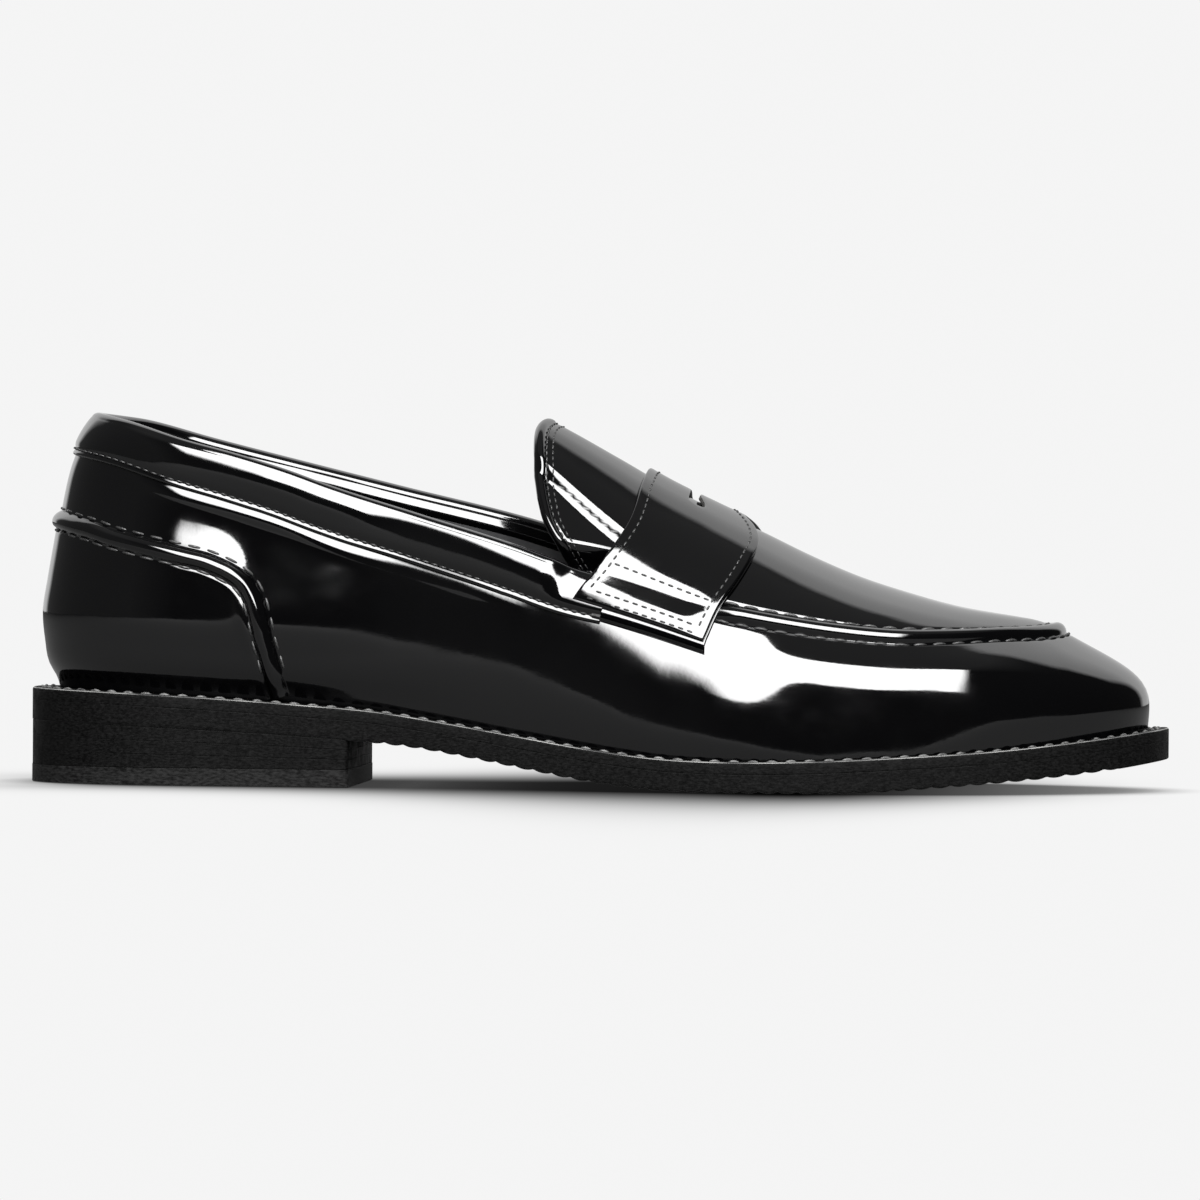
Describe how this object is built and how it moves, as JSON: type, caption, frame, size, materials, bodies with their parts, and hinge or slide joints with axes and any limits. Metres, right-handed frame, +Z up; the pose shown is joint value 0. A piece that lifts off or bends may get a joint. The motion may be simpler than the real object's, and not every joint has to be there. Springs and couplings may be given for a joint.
{
  "type": "penny loafer",
  "caption": "Black patent slip-on shoe with a raised apron seam, a slotted strap over the instep, a stitched welt and a stacked heel.",
  "frame": {"origin": "on the ground, under the centre of the shoe's bounding box", "axes": "+X points to the toe, +Y to the inner side of the foot, +Z up. It is a right shoe."},
  "size_m": [0.3, 0.1044, 0.0976],
  "materials": {
    "patent_leather": "high-gloss black patent",
    "sole_leather": "black, smooth, satin edge",
    "lining_leather": "matte dark grey",
    "thread": "black waxed thread",
    "insole_board": "plain leather board",
    "cork": "granulated cork",
    "foam": "soft open foam",
    "top_piece_rubber": "matte black",
    "shank_steel": "plain",
    "nail_brass": "plain"
  },
  "bodies": {
    "shoe": {"apron_piping": "patent_leather", "apron_plug": "patent_leather", "apron_thread_inner": "thread", "apron_thread_outer": "thread", "collar_band": "patent_leather", "collar_padding": "foam", "collar_thread": "thread", "cork_filler": "cork", "foxing_piping": "patent_leather", "foxing_thread_lower": "thread", "foxing_thread_upper": "thread", "heel_counter": "insole_board", "heel_foxing": "patent_leather", "heel_lift_lower": "sole_leather", "heel_lift_middle": "sole_leather", "heel_lift_upper": "sole_leather", "heel_nail_1": "nail_brass", "heel_nail_2": "nail_brass", "heel_nail_3": "nail_brass", "heel_nail_4": "nail_brass", "heel_nail_5": "nail_brass", "heel_pad": "foam", "heel_top_piece": "top_piece_rubber", "insole": "insole_board", "insole_rib": "insole_board", "outsole": "sole_leather", "plug_lining": "lining_leather", "saddle_strap": "patent_leather", "shank": "shank_steel", "sock_liner": "lining_leather", "strap_thread_edge_inner": "thread", "strap_thread_edge_outer": "thread", "strap_thread_front": "thread", "strap_thread_lower_inner": "thread", "strap_thread_lower_outer": "thread", "strap_thread_rear": "thread", "strap_thread_tack_inner": "thread", "strap_thread_tack_outer": "thread", "strap_underlay_inner": "patent_leather", "strap_underlay_outer": "patent_leather", "toe_puff": "insole_board", "vamp_wall": "patent_leather", "wall_lining": "lining_leather", "welt": "sole_leather", "welt_thread": "thread"},
    "tongue_flap": {"tongue": "patent_leather", "tongue_lining": "lining_leather", "tongue_binding": "patent_leather", "tongue_thread": "thread"}
  },
  "joints": [
    {"name": "tongue_lift", "type": "hinge", "parent": "shoe", "child": "tongue_flap", "pos_m": [0.011, 0, 0.0795], "axis": [0, 1, 0], "range_deg": [0, 12]}
  ]
}
